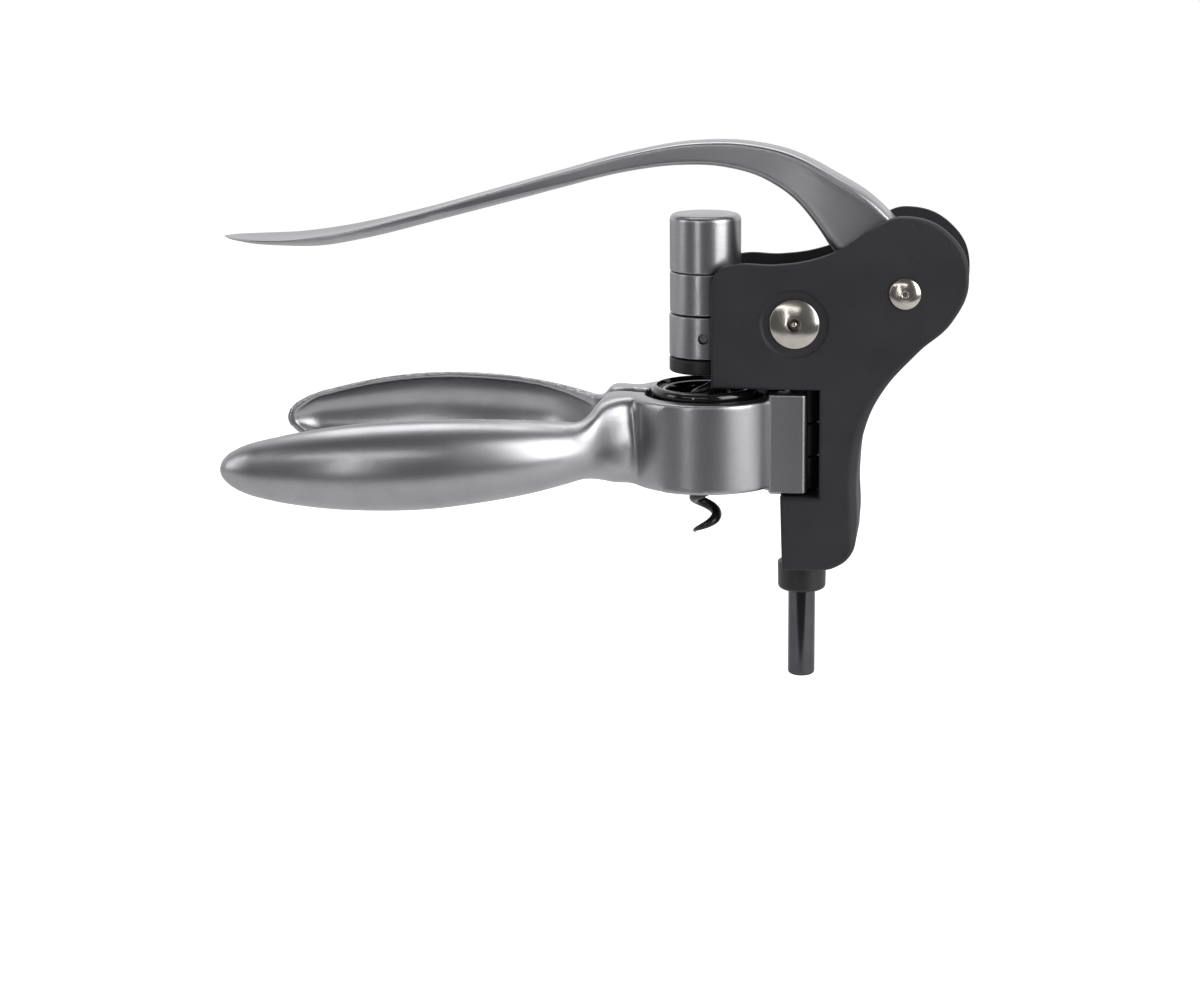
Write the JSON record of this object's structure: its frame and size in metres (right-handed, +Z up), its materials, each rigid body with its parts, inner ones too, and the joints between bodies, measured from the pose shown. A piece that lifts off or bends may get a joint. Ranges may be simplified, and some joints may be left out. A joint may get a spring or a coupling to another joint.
{
  "type": "lever corkscrew",
  "caption": "Lever corkscrew: a black two-plate body, a sliding worm carrier driven by a swinging lever, and two clamp arms that grip a bottle's neck.",
  "frame": {"origin": "centre of the bottle-mouth seat, on the worm's axis", "axes": "+Z up along the worm's axis, away from the bottle; +X towards the body and guide rod; -Y the near half"},
  "size_m": [0.2048, 0.0906, 0.1481],
  "materials": {
    "satin_nickel": "satin plated die casting",
    "bright_nickel": "polished",
    "polished_steel": "polished",
    "steel": "machined",
    "soft_touch_black": "soft-touch matte",
    "black_plastic": "satin",
    "gloss_black": "glossy",
    "worm_coating": "non-stick coating",
    "liner_rubber": "matte"
  },
  "bodies": {
    "frame": {"shell_near": "soft_touch_black", "shell_far": "soft_touch_black", "guide_screw_near": "bright_nickel", "guide_screw_far": "bright_nickel", "guide_block_near": "steel", "guide_block_far": "steel", "axle_cap_near": "bright_nickel", "axle_cap_far": "bright_nickel", "column_bush": "black_plastic", "lever_axle": "steel", "worm_nut": "black_plastic", "nut_bracket": "steel", "mouth_guide": "gloss_black"},
    "lever": {"lever_arm": "satin_nickel", "lever_gear": "steel", "gear_pin_upper": "steel", "gear_pin_lower": "steel"},
    "carrier": {"crosshead": "steel", "rack_bar": "steel", "guide_rod": "polished_steel", "carrier_housing": "satin_nickel", "carrier_cap": "satin_nickel", "thrust_washer": "black_plastic"},
    "worm_group": {"worm_chuck": "satin_nickel", "worm_spindle": "steel", "set_screw": "steel", "worm": "worm_coating"},
    "clamp_near": {"clamp_arm_near": "satin_nickel", "clamp_liner_near": "liner_rubber"},
    "clamp_far": {"clamp_arm_far": "satin_nickel", "clamp_liner_far": "liner_rubber"}
  },
  "joints": [
    {"name": "lever_pivot", "type": "hinge", "parent": "frame", "child": "lever", "pos_m": [0.0546, 0, 0.0343], "axis": [0, 1, 0], "range_deg": [0, 155]},
    {"name": "carrier_slide", "type": "slide", "parent": "frame", "child": "carrier", "axis": [0, 0, 1], "range_m": [0, 0.0366]},
    {"name": "worm_turn", "type": "hinge", "parent": "carrier", "child": "worm_group", "pos_m": [0, 0, 0.0148], "axis": [0, 0, 1], "range_deg": [0, 1385]},
    {"name": "clamp_near_hinge", "type": "hinge", "parent": "frame", "child": "clamp_near", "pos_m": [0.0268, 0, 0], "axis": [0, 0, 1], "range_deg": [-1.5, 16]},
    {"name": "clamp_far_hinge", "type": "hinge", "parent": "frame", "child": "clamp_far", "pos_m": [0.0268, 0, 0], "axis": [0, 0, 1], "range_deg": [-16, 1.5]}
  ],
  "couplings": [
    {"joint": "carrier_slide", "follows": "lever_pivot", "m_per_rad": 0.0135},
    {"joint": "worm_turn", "follows": "lever_pivot", "ratio": 8.9287}
  ]
}
